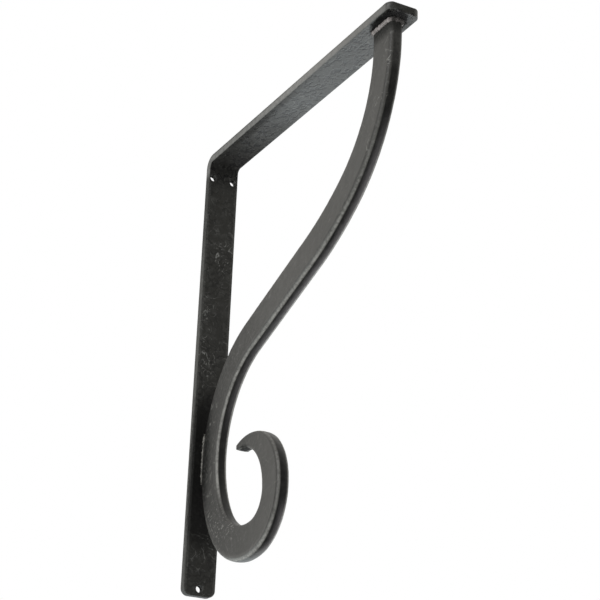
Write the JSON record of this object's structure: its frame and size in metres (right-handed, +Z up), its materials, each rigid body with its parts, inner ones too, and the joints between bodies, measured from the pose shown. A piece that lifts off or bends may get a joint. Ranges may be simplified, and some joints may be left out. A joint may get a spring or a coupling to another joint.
{
  "type": "decorative shelf bracket",
  "caption": "Steel shelf bracket: a flat bar bent into a wall leg and a shelf arm, braced by a forged S scroll with an open curl and a tapered tip.",
  "frame": {"origin": "on the wall face of the leg, midway between the two upper screw holes", "axes": "+Y into the wall, so the arm reaches towards -Y; +Z up along the leg; +X across the bar's width"},
  "size_m": [0.0254, 0.2794, 0.3556],
  "materials": {
    "coat": "satin charcoal coat, mottled",
    "rubbed_coat": "satin charcoal coat, rubbed to pewter",
    "bead": "thinly coated weld"
  },
  "bodies": {
    "root": {"mounting_bar": "coat", "scroll_brace": "rubbed_coat", "arm_weld": "bead", "leg_weld_left": "bead", "leg_weld_right": "bead"}
  },
  "joints": []
}
